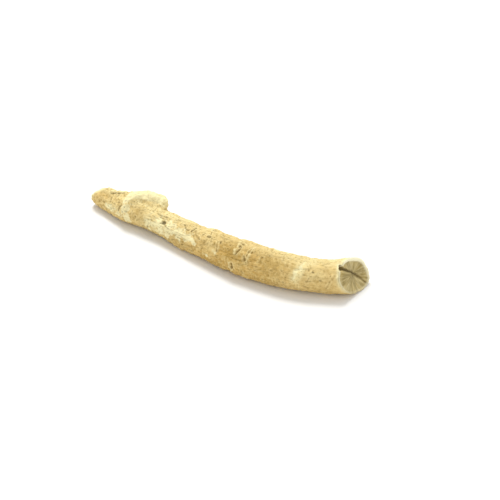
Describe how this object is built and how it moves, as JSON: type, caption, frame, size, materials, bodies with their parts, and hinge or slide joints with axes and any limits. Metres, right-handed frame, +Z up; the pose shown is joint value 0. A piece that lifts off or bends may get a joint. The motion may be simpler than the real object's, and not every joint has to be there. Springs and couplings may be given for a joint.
{
  "type": "ashwagandha root",
  "caption": "Dried, bowed taproot piece with knife-cut ends, a drying crack in its thick end and a broken side shoot that hugs its thin end.",
  "frame": {"origin": "bottom centre of the bounding box, on the surface that the root lies on", "axes": "+X along the root from its thin end to its thick cut end, -Y towards the side it bows to, +Z up"},
  "size_m": [0.1084, 0.0236, 0.013],
  "materials": {
    "root_bark": "dry matt bark in pale tan, with khaki cut wood at the ends"
  },
  "bodies": {
    "root": {"ashwagandha_root": "root_bark"}
  },
  "joints": []
}
